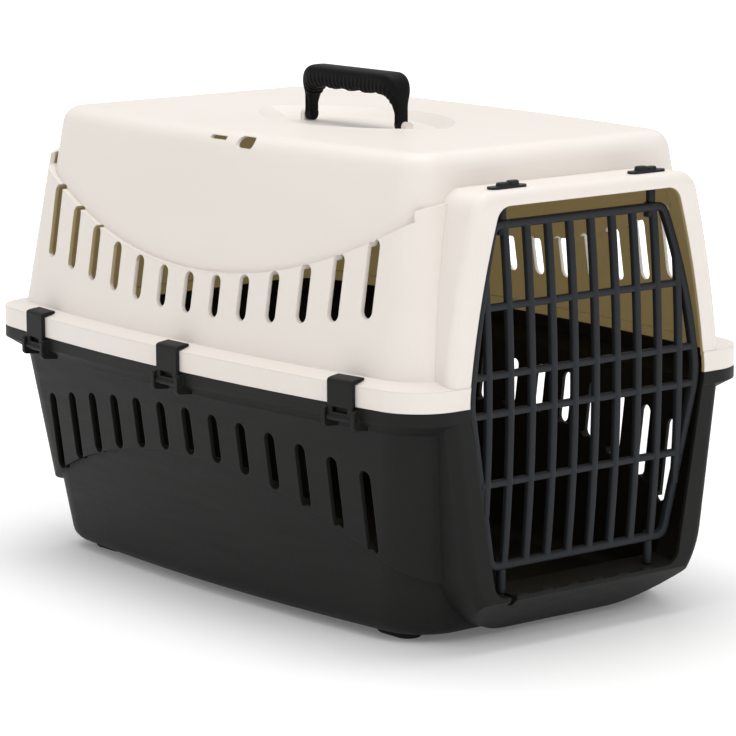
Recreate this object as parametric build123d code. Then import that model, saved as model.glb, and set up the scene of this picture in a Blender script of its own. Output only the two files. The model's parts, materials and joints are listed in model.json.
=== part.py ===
from build123d import *
from math import asin, degrees, hypot, sqrt
import os

# Small two-part pet carrier: slotted tub and lid, clips, folding handle, swinging grille door.
# Millimetres. +Z is up, the door faces -Y, the origin is on the floor under the centre.

# Overall form
RIM_LENGTH = 460.0          # outside of the joining rim, front to back
RIM_WIDTH = 310.0           # outside of the joining rim at its middle
SEAM_Z = 154.0              # height of the face where tub and lid meet
ROOF_RISE = 150.0           # roof above the seam
TUB_DROP = 149.0            # tub underside below the seam
WALL = 2.5
SIDE_BOW_R = 1570.0         # the long sides bow outwards on this radius
RIM_CORNER_R = 33.0

# Rim and walls of the lid
LID_RIM_H = 13.0
LID_LEDGE_RISE = 3.5        # the ledge climbs this much from the rim to the wall
LEDGE_W = 12.0              # how far the rim stands proud of the walls
LID_DRAFT = 0.158
LID_ROOF_CORNER_R = 20.0
ROOF_EDGE_R = 13.0

# Rim and walls of the tub
TUB_RIM_H = 8.0
TUB_BEVEL_H = 8.5
TUB_DRAFT = 0.135
TUB_FLOOR_CORNER_R = 38.0
FLOOR_EDGE_R = 11.0

# Raised slotted bands and their curved shoulders
BAND_STEP = 4.0
SHOULDER_CURVE = 0.00133    # rise of a shoulder per square millimetre along the side
LID_SHOULDER_Z = 62.0
TUB_SHOULDER_Z = -59.5
END_SHOULDER_RISE = 12.0    # the lid's shoulder climbs again over each end wall
END_SHOULDER_START = 15.0   # from the end wall to where that climb begins
END_SHOULDER_MARGIN = 20.0  # kept clear at both sides of the end wall

# Vent slots
SLOT_COUNT = 13
SLOT_PITCH = 28.2
SLOT_W = 9.6
SLOT_MARGIN = 1.2           # from a slot's far end to the shoulder
SLOT_NEAR_CURVE = 0.00056
LID_SLOT_NEAR_Z = 34.4
TUB_SLOT_NEAR_Z = -26.9

# Interlock between tub and lid
TONGUE_H = 4.0
TONGUE_T = 1.6
TONGUE_GAP = 0.3

# Door
DOOR_TOP = 110.0
DOOR_BOTTOM = -105.5
DOOR_TOP_HALF = 71.5
DOOR_MID_HALF = 96.0
DOOR_BOTTOM_HALF = 74.0
DOOR_SIDE_BULGE = 3.2
DOOR_CORNER_R = 9.0
DOOR_WAIST_R = 60.0
DOOR_FRONT_Y = -227.5       # front of the grille at its waist
DOOR_END_Y = -219.7         # front of the grille at its top and bottom
DOOR_DEPTH = 5.6
DOOR_ARC_OVER = 10.0        # the front's arc runs on this far past both ends
FRAME_W = 5.2
BAR_PITCH = 17.51
BAR_W = 5.0
BAR_DEPTH = 4.4
BAR_SETBACK = 0.3
BAR_HALF_COUNT = 5          # bars on each side of the centre
RAIL_H = 4.4
RAIL_SETBACK = 0.7
RAIL_ZS = (58.4, 16.9, -6.7, -50.1)
STEM_X = 3.5 * BAR_PITCH
STEM_Y = -217.0
EYE_R = 4.4
EYE_H = 9.0

# Porch round the door
PORCH_FRONT_Y = -229.5
PORCH_BACK_Y = -188.0
PORCH_BAND = 16.0
PORCH_EDGE_R = 7.0
PORCH_LOW_R = 58.0          # lower corners of the porch, seen from the front
DOOR_GAP = 1.6              # round the sides of the door
BROW_TOP = 129.0
BROW_UNDER = 120.0
SILL_TOP = -121.0
SILL_FOOT_Y = -199.0        # where the slanted front meets the tub underside
SILL_FRONT_DROP = 2.5
SILL_SKIN = 3.5             # behind the slanted front

# Door tabs on the brow
PIN_R = 2.0
PIN_GAP = 0.05
PIN_DEPTH = 6.5
TAB_PLATE_L = 29.0
TAB_PLATE_W = 8.0
TAB_PLATE_T = 1.3
TAB_PLATE_SHIFT = 4.0       # the plate lies this far inwards of its stem
TAB_KNOB_L = 9.4            # each of the two humps
TAB_KNOB_W = 6.5
TAB_KNOB_HS = (4.2, 3.5)    # inner hump, outer hump
TAB_KNOB_SHIFT = 4.6
TAB_KNOB_PITCH = 8.0
TAB_KNOB_DRAFT = 8.0
TAB_KNOB_EDGE_R = 1.2
TAB_STEM_R = 2.9
TAB_SEAT_GAP = 0.2
FORK_GAP = 0.45
GUIDE_GAP = 0.3

# Lower door stems
FOOT_STEM_R = 2.9
FOOT_STEM_SINK = 6.0        # the stem's root inside the door frame
FOOT_PIN_H = 5.5
SILL_BOSS_R = 5.0
SILL_BOSS_H = 7.0
SOCKET_SPARE = 0.6          # depth of a pin's hole beyond the pin

# Side clips
CLIP_YS = (160.0, -3.0, -169.0)
CLIP_W = 21.5
CLIP_T = 2.6
CLIP_FACE_GAP = 0.4
CLIP_LIP = 7.5
CLIP_LIP_T = 2.4
CLIP_NOSE = 1.4             # slope over the top of the plate
CLIP_BARREL_R = 1.9
CLIP_AXIS_OUT = 2.3
CLIP_AXIS_Z = -8.0
CLIP_PIN_R = 1.2
CLIP_PIN_L = 2.6
EAR_W = 3.0
EAR_GAP = 0.4
EAR_OUT = 4.9
EAR_SHOULDER_OUT = 3.4
EAR_TOP_Z = -1.5
EAR_ROOT_X = -1.3           # the ear's root inside the rim
EAR_TAIL_X = -7.0           # the ear's tail under the rim
EAR_TAIL_Z = -15.0

# Folding handle
HANDLE_L = 101.0
HANDLE_TOP = 182.3
HANDLE_GRIP_H = 15.0
HANDLE_GRIP_W = 19.0
HANDLE_LEG_T = 7.0
HANDLE_LEG_W = 8.0
HANDLE_CORNER_R = 13.0
HANDLE_PIVOT_DROP = 2.4     # pivot below the roof face
HANDLE_HUB_R = 3.3
HANDLE_LEG_END = 1.5        # square leg stops this far above the pivot
HANDLE_PIN_R = 1.9
HANDLE_PIN_L = 2.8          # pin inside its ear
HANDLE_PIN_SPARE = 0.3
HANDLE_PIN_ROOT = 1.0
GRIP_OVERLAP = 8.0          # grip runs this far into the bow's corners in all
FINGER_COUNT = 4
FINGER_R = 16.0
FINGER_BITE = 1.6
GRIP_RIB_COUNT = 11
GRIP_RIB_PITCH = 6.4
GRIP_RIB_W = 2.6
GRIP_RIB_H = 0.7
GRIP_ROUND = 0.42           # corner radius of the grip as a share of its height
HANDLE_EAR_T = 4.0
HANDLE_EAR_R = 3.3
DISH_L = 186.0
DISH_W = 104.0
DISH_DEPTH = 6.0
DISH_FLARE = 9.0

# Strap slot and eyelet at the roof's left edge
# each is y, z, length, height
STRAP_SLOT = (-6.0, 145.6, 17.0, 2.4)
STRAP_EYE = (-35.0, 144.6, 17.0, 7.0)
STRAP_REACH = 48.0          # cut from the rim's widest line to just inside the roof's edge

# Feet
FOOT_X = 90.0
FOOT_Y = 154.0
FOOT_L = 34.0
FOOT_W = 18.0
FOOT_H = SEAM_Z - TUB_DROP
FOOT_EDGE = 1.2

HALF_L = RIM_LENGTH / 2
HALF_W = RIM_WIDTH / 2
LID_WALL_Z = LID_RIM_H + LID_LEDGE_RISE
TUB_WALL_Z = -TUB_RIM_H - TUB_BEVEL_H
BIG = 600.0


def outline(z, inset, corner_r):
    """Rounded rectangle with bowed long sides, drawn at height z, shrunk by inset."""
    half_w = HALF_W - inset
    half_l = HALF_L - inset
    bow = SIDE_BOW_R - inset
    centre_x = half_w - bow
    cy = half_l - corner_r
    cx = centre_x + sqrt((bow - corner_r) ** 2 - cy ** 2)
    reach = hypot(cx - centre_x, cy)
    tangent = (centre_x + (cx - centre_x) * bow / reach, cy * bow / reach)
    to_tangent = (tangent[0] - cx, tangent[1] - cy)
    middle = (to_tangent[0] / corner_r, to_tangent[1] / corner_r + 1)
    scale = corner_r / hypot(*middle)
    corner_mid = (cx + middle[0] * scale, cy + middle[1] * scale)
    edges = []
    for sx, sy in ((1, 1), (1, -1), (-1, -1), (-1, 1)):
        points = [(sx * x, sy * y, z) for x, y in (tangent, corner_mid, (cx, half_l))]
        edges.append(Edge.make_three_point_arc(*points))
    for sx in (1, -1):
        low = (sx * tangent[0], -tangent[1], z)
        high = (sx * tangent[0], tangent[1], z)
        edges.append(Edge.make_three_point_arc(low, (sx * half_w, 0, z), high))
    for sy in (1, -1):
        edges.append(Edge.make_line((-cx, sy * half_l, z), (cx, sy * half_l, z)))
    return Face(Wire(edges))


def stack(levels):
    """Solid through outlines given as (z, inset, corner radius)."""
    return Solid.make_loft([outline(*level).outer_wire() for level in levels], ruled=True)


def side_prism(points_face):
    """Extrude a face drawn on the YZ plane right across the carrier."""
    return extrude(points_face, BIG / 2, both=True)


def yz_face(points, arcs=()):
    """Face on the YZ plane from (y, z) points; arcs maps a start index to an arc's middle point."""
    edges = []
    arc_at = dict(arcs)
    for i, start in enumerate(points):
        end = points[(i + 1) % len(points)]
        a, b = (0, *start), (0, *end)
        if i in arc_at:
            edges.append(Edge.make_three_point_arc(a, (0, *arc_at[i]), b))
        else:
            edges.append(Edge.make_line(a, b))
    return Face(Wire(edges))


def shoulder_z(base, sign, y):
    """Height of a band's shoulder at a place along the side."""
    return base + sign * SHOULDER_CURVE * y * y


def band_region(base, sign, shift):
    """Everything on the rim's side of the curved shoulder, moved away from the rim by shift."""
    reach = HALF_L + LEDGE_W
    level = base + sign * shift
    end_z = shoulder_z(level, sign, reach)
    far = -sign * BIG / 2
    points = [(-reach, end_z), (reach, end_z), (reach, far), (-reach, far)]
    return side_prism(yz_face(points, {0: (0, level)}.items()))


def end_region(sign_y, shift):
    """The lid's shoulder on an end wall: it climbs towards the middle of the wall."""
    start = shoulder_z(LID_SHOULDER_Z, 1, HALF_L - LEDGE_W - END_SHOULDER_START) + shift
    top = start + END_SHOULDER_RISE
    half = HALF_W - 2 * LEDGE_W - END_SHOULDER_MARGIN
    edges = [
        Edge.make_three_point_arc((-half, 0, start), (0, 0, top), (half, 0, start)),
        Edge.make_line((half, 0, start), (half, 0, 0)),
        Edge.make_line((half, 0, 0), (-half, 0, 0)),
        Edge.make_line((-half, 0, 0), (-half, 0, start)),
    ]
    wall = Pos(0, sign_y * (HALF_L - 3 * LEDGE_W), 0) * Face(Wire(edges))
    return extrude(wall, 3 * LEDGE_W, dir=(0, sign_y, 0))


def lid_wall_inset(z, step=0.0):
    return LEDGE_W + step + LID_DRAFT * (z - LID_WALL_Z)


def tub_wall_inset(z, step=0.0):
    return LEDGE_W + step + TUB_DRAFT * (TUB_WALL_Z - z)


def lid_body(skin):
    """Lid volume, outside for skin 0 and inside for skin WALL."""
    top = ROOF_RISE - skin
    rim_r = RIM_CORNER_R - skin
    wall_z = LID_WALL_Z - skin
    low = 0.0 if skin == 0 else -1.0
    band = stack([
        (low, skin, rim_r), (LID_RIM_H - skin, skin, rim_r),
        (wall_z, LEDGE_W + skin, rim_r), (top, lid_wall_inset(top) + skin, LID_ROOF_CORNER_R),
    ])
    region = band_region(LID_SHOULDER_Z, 1, -skin)
    for sign_y in (1, -1):
        region += end_region(sign_y, -skin)
    inset = BAND_STEP + skin
    dome = stack([
        (low, LEDGE_W + inset, rim_r), (wall_z, LEDGE_W + inset, rim_r),
        (top, lid_wall_inset(top) + inset, LID_ROOF_CORNER_R),
    ])
    roof_edges = dome.edges().group_by(Axis.Z)[-1]
    dome = fillet(roof_edges, ROOF_EDGE_R - skin)
    return dome + (band & region)


def tub_body(skin):
    """Tub volume, outside for skin 0 and inside for skin WALL."""
    low = -TUB_DROP + skin
    rim_r = RIM_CORNER_R - skin
    wall_z = TUB_WALL_Z + skin
    high = 0.0 if skin == 0 else 1.0
    band = stack([
        (low, tub_wall_inset(low) + skin, TUB_FLOOR_CORNER_R), (wall_z, LEDGE_W + skin, rim_r),
        (-TUB_RIM_H + skin, skin, rim_r), (high, skin, rim_r),
    ])
    inset = BAND_STEP + skin
    base = stack([
        (low, tub_wall_inset(low) + inset, TUB_FLOOR_CORNER_R),
        (wall_z, LEDGE_W + inset, rim_r), (high, LEDGE_W + inset, rim_r),
    ])
    floor_edges = base.edges().group_by(Axis.Z)[0]
    base = fillet(floor_edges, FLOOR_EDGE_R - skin)
    return base + (band & band_region(TUB_SHOULDER_Z, -1, -skin))


def vent_slots(near_z, far_base, sign):
    """Thirteen round-ended slots cut across both long walls."""
    cutters = []
    for i in range(SLOT_COUNT):
        y = (i - (SLOT_COUNT - 1) / 2) * SLOT_PITCH
        near = near_z + sign * SLOT_NEAR_CURVE * y * y
        far = shoulder_z(far_base, sign, y) - sign * SLOT_MARGIN
        middle = (near + far) / 2
        length = abs(far - near)
        slot = Plane.YZ * (Pos(y, middle) * SlotOverall(length, SLOT_W, rotation=90))
        cutters.append(extrude(slot, BIG / 2, both=True))
    return cutters


def door_face(grow, top, bottom, corner_r, low_corner_r=None):
    """The door's six-sided outline on the XZ plane, grown by a margin."""
    top_half, mid_half = DOOR_TOP_HALF + grow, DOOR_MID_HALF + grow
    bottom_half = DOOR_BOTTOM_HALF + grow
    side = Vector(mid_half - top_half, -top, 0).normalized()
    bulge = Vector(-side.Y, side.X, 0) * DOOR_SIDE_BULGE
    halfway = ((top_half + mid_half) / 2 + abs(bulge.X), top / 2 + abs(bulge.Y))
    lines = Curve() + [
        Line((-top_half, top), (top_half, top)),
        ThreePointArc((top_half, top), halfway, (mid_half, 0)),
        Line((mid_half, 0), (bottom_half, bottom)),
        Line((bottom_half, bottom), (-bottom_half, bottom)),
        Line((-bottom_half, bottom), (-mid_half, 0)),
        ThreePointArc((-mid_half, 0), (-halfway[0], halfway[1]), (-top_half, top)),
    ]
    face = make_face(lines)
    face = fillet(face.vertices().group_by(Axis.Y)[-1], corner_r)
    face = fillet(face.vertices().group_by(Axis.Y)[0], low_corner_r or corner_r)
    waist = [v for v in face.vertices() if abs(v.Y) < 0.01]
    return fillet(waist, DOOR_WAIST_R)


def front_prism(face, y_front, y_back):
    """Extrude an XZ outline from y_front back to y_back."""
    placed = Plane((0, y_front, 0), x_dir=(1, 0, 0), z_dir=(0, -1, 0)) * face
    return extrude(placed, y_front - y_back)


def porch_outer():
    outline_face = door_face(DOOR_GAP + PORCH_BAND, BROW_TOP, -TUB_DROP, PORCH_BAND, PORCH_LOW_R)
    solid = front_prism(outline_face, PORCH_FRONT_Y, PORCH_BACK_Y)
    front_edges = solid.edges().group_by(Axis.Y)[0]
    solid = fillet(front_edges, PORCH_EDGE_R)
    return solid - sill_slope(0)


def sill_slope(skin):
    """Everything in front of and below the slanted front under the sill."""
    a = (PORCH_FRONT_Y - PORCH_BAND, SILL_TOP - SILL_FRONT_DROP + skin)
    b = (PORCH_FRONT_Y, SILL_TOP - SILL_FRONT_DROP + skin)
    c = (SILL_FOOT_Y, -TUB_DROP + skin)
    d = (PORCH_BACK_Y / 2, -TUB_DROP + skin)
    e = (PORCH_BACK_Y / 2, -BIG / 2)
    return side_prism(yz_face([a, b, c, d, e, (a[0], e[1])]))


def porch_inner():
    """Hollow behind the porch's front flange: the part above the sill, and the part below."""
    grow = DOOR_GAP + PORCH_BAND - WALL
    skin_face = door_face(grow, BROW_TOP - WALL, WALL - TUB_DROP, PORCH_BAND - WALL, PORCH_LOW_R - WALL)
    hollow = front_prism(skin_face, PORCH_FRONT_Y + WALL, PORCH_BACK_Y)
    hollow = fillet(hollow.edges().group_by(Axis.Y)[0], PORCH_EDGE_R - WALL)
    above = hollow & (Pos(0, 0, SILL_TOP) * half_space(True))
    below = hollow & (Pos(0, 0, SILL_TOP - WALL) * half_space(False))
    return above, below - sill_slope(SILL_SKIN)


def door_opening():
    face = door_face(DOOR_GAP, BROW_UNDER, SILL_TOP, DOOR_CORNER_R + DOOR_GAP)
    return front_prism(face, PORCH_FRONT_Y - PORCH_BAND, PORCH_FRONT_Y + 2 * WALL)


def half_space(above):
    z = BIG / 2 if above else -BIG / 2
    return Pos(0, 0, z) * Box(BIG, BIG, BIG)


def tongue():
    """Lip of the tub that stands inside the lid's rim."""
    outer = WALL + TONGUE_GAP
    corner = RIM_CORNER_R - outer
    up = stack([(-TONGUE_H, outer, corner), (TONGUE_H, outer, corner)])
    inner, inner_corner = outer + TONGUE_T, corner - TONGUE_T
    inside = stack([(-TONGUE_H - 1, inner, inner_corner), (TONGUE_H + 1, inner, inner_corner)])
    root_corner = RIM_CORNER_R - WALL / 2
    root = stack([(-TONGUE_H, WALL / 2, root_corner), (0, WALL / 2, root_corner)])
    ring = (up + root) - inside
    way_face = door_face(DOOR_GAP + PORCH_BAND, BROW_TOP, SILL_TOP, DOOR_GAP)
    return ring - front_prism(way_face, -HALF_L - PORCH_BAND, PORCH_BACK_Y)


def dish(skin):
    """Lens-shaped recess in the roof, drawn with flared sides that pass a little above it."""
    def lens(flare, z):
        half_l = DISH_L / 2 - 2 * flare
        half_w = DISH_W / 2 - flare
        ends = ((0, -half_l, z), (0, half_l, z))
        sides = [Edge.make_three_point_arc(ends[0], (sx * half_w, 0, z), ends[1]) for sx in (1, -1)]
        return Wire(sides)
    floor_z = ROOF_RISE - DISH_DEPTH - skin
    rise = DISH_DEPTH + 1
    past = DISH_FLARE * (1 - rise / DISH_DEPTH)
    return Solid.make_loft([lens(DISH_FLARE, floor_z), lens(past, floor_z + rise)], ruled=True)


def handle_ears():
    """Two lugs on the dish floor that carry the handle's pins."""
    ears = []
    pivot_z = ROOF_RISE - HANDLE_PIVOT_DROP
    floor_z = ROOF_RISE - DISH_DEPTH
    for sign in (1, -1):
        y = sign * (HANDLE_L / 2 + EAR_GAP + HANDLE_EAR_T / 2)
        disc = Pos(0, y, pivot_z) * Rot(90, 0, 0) * Cylinder(HANDLE_EAR_R, HANDLE_EAR_T)
        height = pivot_z - floor_z + WALL / 2
        post = Pos(0, y, pivot_z - height / 2) * Box(2 * HANDLE_EAR_R, HANDLE_EAR_T, height)
        depth = HANDLE_PIN_L + HANDLE_PIN_SPARE
        y_hole = y - sign * (HANDLE_EAR_T - depth) / 2
        hole = Pos(0, y_hole, pivot_z) * Rot(90, 0, 0) * Cylinder(HANDLE_PIN_R + PIN_GAP, depth)
        ears.append(disc + post - hole)
    return ears


def strap_cuts():
    """Strap slot and round eyelet through the lid's left wall."""
    cutters = []
    for y, z, length, height in (STRAP_SLOT, STRAP_EYE):
        shape = Plane.YZ * (Pos(y, z) * SlotOverall(length, height))
        cutters.append(Pos(-HALF_W, 0, 0) * extrude(shape, STRAP_REACH))
    return cutters


def tab_holes():
    """Guide holes for the tab stems in the brow's ledge."""
    return [Pos(sx * STEM_X, STEM_Y, BROW_TOP) * Cylinder(TAB_STEM_R + GUIDE_GAP, 3 * WALL)
            for sx in (1, -1)]


def upper_shell():
    inner_porch = porch_inner()[0]
    solid = (lid_body(0) + porch_outer()) & half_space(True)
    solid -= dish(0)
    cavity = lid_body(WALL) - dish(WALL)
    solid = solid - cavity - inner_porch - door_opening()
    for cutter in vent_slots(LID_SLOT_NEAR_Z, LID_SHOULDER_Z, 1) + strap_cuts() + tab_holes():
        solid -= cutter
    for ear in handle_ears():
        solid += ear
    return solid


def clip_frame(side, y):
    """Location on the rim's face at the seam: X outwards, Y along the rim, Z up."""
    centre_x = HALF_W - SIDE_BOW_R
    x = centre_x + sqrt(SIDE_BOW_R ** 2 - y * y)
    turn = degrees(asin(y / SIDE_BOW_R))
    if side > 0:
        return Location((x, y, 0), (0, 0, turn))
    return Location((-x, y, 0), (0, 0, 180 - turn))


def xz_prism(points, width, y_mid=0.0):
    """Prism along Y from an (x, z) outline."""
    wire = Wire.make_polygon([(x, y_mid - width / 2, z) for x, z in points], close=True)
    return extrude(Face(wire), width, dir=(0, 1, 0))


def clip_ears():
    """Pair of hinge ears on the tub's rim, in the clip's own frame."""
    chamfer_h = EAR_OUT - EAR_SHOULDER_OUT
    top_z = EAR_TOP_Z - CLIP_FACE_GAP
    low_z = 2 * CLIP_AXIS_Z - top_z
    profile = [(EAR_ROOT_X, EAR_TOP_Z), (EAR_SHOULDER_OUT, top_z), (EAR_OUT, top_z - chamfer_h),
               (EAR_OUT, low_z + chamfer_h), (EAR_SHOULDER_OUT, low_z), (EAR_TAIL_X, EAR_TAIL_Z),
               (EAR_TAIL_X, EAR_TAIL_Z + EAR_W), (EAR_ROOT_X, -TUB_RIM_H)]
    ears = []
    for sign in (1, -1):
        y = sign * (CLIP_W / 2 + EAR_GAP + EAR_W / 2)
        ear = xz_prism(profile, EAR_W, y)
        axis = Pos(CLIP_AXIS_OUT, y, CLIP_AXIS_Z) * Rot(90, 0, 0)
        ears.append(ear - axis * Cylinder(CLIP_PIN_R + PIN_GAP, EAR_W + 1))
    return ears


def ledge_z(x):
    """Top of the lid's ledge below a point x (negative is inwards from the rim face)."""
    return LID_RIM_H + LID_LEDGE_RISE * (-x) / LEDGE_W


def clip():
    """Side clip: barrel with end pins, flat plate and a lip that hooks over the lid's ledge."""
    inner = CLIP_FACE_GAP
    outer = inner + CLIP_T
    lip_low = ledge_z(-CLIP_LIP) + CLIP_FACE_GAP
    corner_low = LID_RIM_H + CLIP_FACE_GAP
    over = corner_low + CLIP_LIP_T
    profile = [(inner, CLIP_AXIS_Z), (inner, corner_low), (-CLIP_LIP, lip_low),
               (-CLIP_LIP, lip_low + CLIP_LIP_T), (inner, over + CLIP_NOSE / 2),
               (outer - CLIP_NOSE / 2, over), (outer, over - CLIP_NOSE), (outer, CLIP_AXIS_Z)]
    plate = xz_prism(profile, CLIP_W)
    axis = Pos(CLIP_AXIS_OUT, 0, CLIP_AXIS_Z) * Rot(90, 0, 0)
    pins = Cylinder(CLIP_PIN_R, CLIP_W + 2 * (EAR_GAP + CLIP_PIN_L))
    return plate + axis * Cylinder(CLIP_BARREL_R, CLIP_W) + axis * pins


def sill_fittings():
    """Sockets for the door's lower pins: solids to add, then cuts to make."""
    bosses = []
    cuts = []
    for sx in (1, -1):
        place = Pos(sx * STEM_X, STEM_Y, SILL_TOP - SILL_BOSS_H / 2)
        bosses.append(place * Cylinder(SILL_BOSS_R, SILL_BOSS_H))
    socket_h = FOOT_PIN_H + SOCKET_SPARE
    z = SILL_TOP - socket_h / 2
    cuts.append(Pos(STEM_X, STEM_Y, z) * Cylinder(PIN_R + PIN_GAP, socket_h))
    radius = PIN_R + FORK_GAP
    cuts.append(Pos(-STEM_X, STEM_Y, z) * Cylinder(radius, socket_h))
    reach = STEM_Y - PORCH_FRONT_Y + SILL_BOSS_R
    cuts.append(Pos(-STEM_X, STEM_Y - reach / 2, z) * Box(2 * radius, reach, socket_h))
    return bosses, cuts


def lower_shell():
    upper_hollow, lower_hollow = porch_inner()
    solid = (tub_body(0) + porch_outer()) & half_space(False)
    solid = solid - tub_body(WALL) - upper_hollow - lower_hollow - door_opening()
    solid += tongue()
    bosses, cuts = sill_fittings()
    for boss in bosses:
        solid += boss
    for cutter in cuts + vent_slots(TUB_SLOT_NEAR_Z, TUB_SHOULDER_Z, -1):
        solid -= cutter
    for side in (1, -1):
        for y in CLIP_YS:
            for ear in clip_ears():
                solid += clip_frame(side, y) * ear
    return solid


def door_sheet(front, back):
    """Curved slab of the door between two depths behind its front face."""
    half = (DOOR_TOP - DOOR_BOTTOM) / 2 + DOOR_ARC_OVER
    mid_z = (DOOR_TOP + DOOR_BOTTOM) / 2
    top, low = mid_z + half, mid_z - half
    near, far = DOOR_END_Y + front, DOOR_END_Y + back
    points = [(near, low), (near, top), (far, top), (far, low)]
    arcs = {0: (DOOR_FRONT_Y + front, mid_z), 2: (DOOR_FRONT_Y + back, mid_z)}
    return side_prism(yz_face(points, arcs.items()))


def door_grille():
    depth = DOOR_DEPTH
    outer = door_face(0, DOOR_TOP, DOOR_BOTTOM, DOOR_CORNER_R)
    inner = door_face(-FRAME_W, DOOR_TOP - FRAME_W, DOOR_BOTTOM + FRAME_W, DOOR_CORNER_R - FRAME_W)
    reach = 6 * DOOR_DEPTH
    y_near, y_far = DOOR_FRONT_Y - reach, DOOR_FRONT_Y + reach
    window = front_prism(inner, y_near, y_far)
    whole = front_prism(outer, y_near, y_far)
    frame = door_sheet(0, depth) & (whole - window)
    height = DOOR_TOP - DOOR_BOTTOM
    z_mid = (DOOR_TOP + DOOR_BOTTOM) / 2
    bars = []
    for i in range(2 * BAR_HALF_COUNT):
        x = (i - BAR_HALF_COUNT + 0.5) * BAR_PITCH
        bars.append(Pos(x, DOOR_FRONT_Y, z_mid) * Box(BAR_W, 2 * reach, height))
    rails = [Pos(0, DOOR_FRONT_Y, z) * Box(2 * DOOR_MID_HALF, 2 * reach, RAIL_H) for z in RAIL_ZS]
    sheet_bars = door_sheet(BAR_SETBACK, BAR_SETBACK + BAR_DEPTH) & whole
    sheet_rails = door_sheet(RAIL_SETBACK, depth) & whole
    grid = frame
    for bar in bars:
        grid += sheet_bars & bar
    for rail in rails:
        grid += sheet_rails & rail
    stem_top = DOOR_BOTTOM + FOOT_STEM_SINK
    stem_h = stem_top - SILL_TOP - TAB_SEAT_GAP
    pin_h = FOOT_PIN_H + SOCKET_SPARE + TAB_SEAT_GAP
    for sx in (1, -1):
        stem_axis = Pos(sx * STEM_X, STEM_Y, 0)
        grid += stem_axis * Pos(0, 0, DOOR_TOP - EYE_H / 2) * Cylinder(EYE_R, EYE_H)
        grid += stem_axis * Pos(0, 0, stem_top - stem_h / 2) * Cylinder(FOOT_STEM_R, stem_h)
        grid += stem_axis * Pos(0, 0, SILL_TOP - FOOT_PIN_H + pin_h / 2) * Cylinder(PIN_R, pin_h)
    eye_h = PIN_DEPTH + SOCKET_SPARE
    z = DOOR_TOP - eye_h / 2
    grid -= Pos(STEM_X, STEM_Y, z) * Cylinder(PIN_R + PIN_GAP, eye_h)
    radius = PIN_R + FORK_GAP
    grid -= Pos(-STEM_X, STEM_Y, z) * Cylinder(radius, eye_h)
    grid -= Pos(-STEM_X, STEM_Y + DOOR_DEPTH, z) * Box(2 * radius, 2 * DOOR_DEPTH, eye_h)
    return grid


def door_tab(side):
    """Tab on the brow: plate, two humps, and a stem that ends in the door's upper pin."""
    plate_z = BROW_TOP + TAB_SEAT_GAP
    body = extrude(Pos(-side * TAB_PLATE_SHIFT, 0, 0) * SlotOverall(TAB_PLATE_L, TAB_PLATE_W), TAB_PLATE_T)
    for place, height in zip((1, -1), TAB_KNOB_HS):
        x = -side * (TAB_KNOB_SHIFT + place * TAB_KNOB_PITCH / 2)
        hump = extrude(Pos(x, 0, 0) * SlotOverall(TAB_KNOB_L, TAB_KNOB_W), height, taper=TAB_KNOB_DRAFT)
        body += fillet(hump.edges().group_by(Axis.Z)[-1], TAB_KNOB_EDGE_R)
    body = Pos(side * STEM_X, STEM_Y, plate_z) * body
    stem_h = plate_z - DOOR_TOP - TAB_SEAT_GAP
    stem = Pos(side * STEM_X, STEM_Y, plate_z - stem_h / 2) * Cylinder(TAB_STEM_R, stem_h)
    pin_h = PIN_DEPTH + TAB_SEAT_GAP
    pin = Pos(side * STEM_X, STEM_Y, DOOR_TOP + TAB_SEAT_GAP - pin_h / 2) * Cylinder(PIN_R, pin_h)
    return body + stem + pin


def handle_bow():
    """Handle side view: two legs and a grip with a finger-shaped underside."""
    half = HANDLE_L / 2
    pivot_z = ROOF_RISE - HANDLE_PIVOT_DROP
    leg_end = pivot_z + HANDLE_LEG_END
    outer = Plane.YZ * make_face(Polyline([
        (-half, leg_end), (-half, HANDLE_TOP), (half, HANDLE_TOP), (half, leg_end)], close=True))
    outer = fillet(outer.vertices().group_by(Axis.Z)[-1], HANDLE_CORNER_R)
    inner_half = half - HANDLE_LEG_T
    under = HANDLE_TOP - HANDLE_GRIP_H
    below = leg_end - HANDLE_LEG_T
    inner = Plane.YZ * make_face(Polyline([
        (-inner_half, below), (-inner_half, under), (inner_half, under), (inner_half, below)], close=True))
    inner = fillet(inner.vertices().group_by(Axis.Z)[-1], HANDLE_CORNER_R - HANDLE_LEG_T)
    return outer - inner


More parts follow.
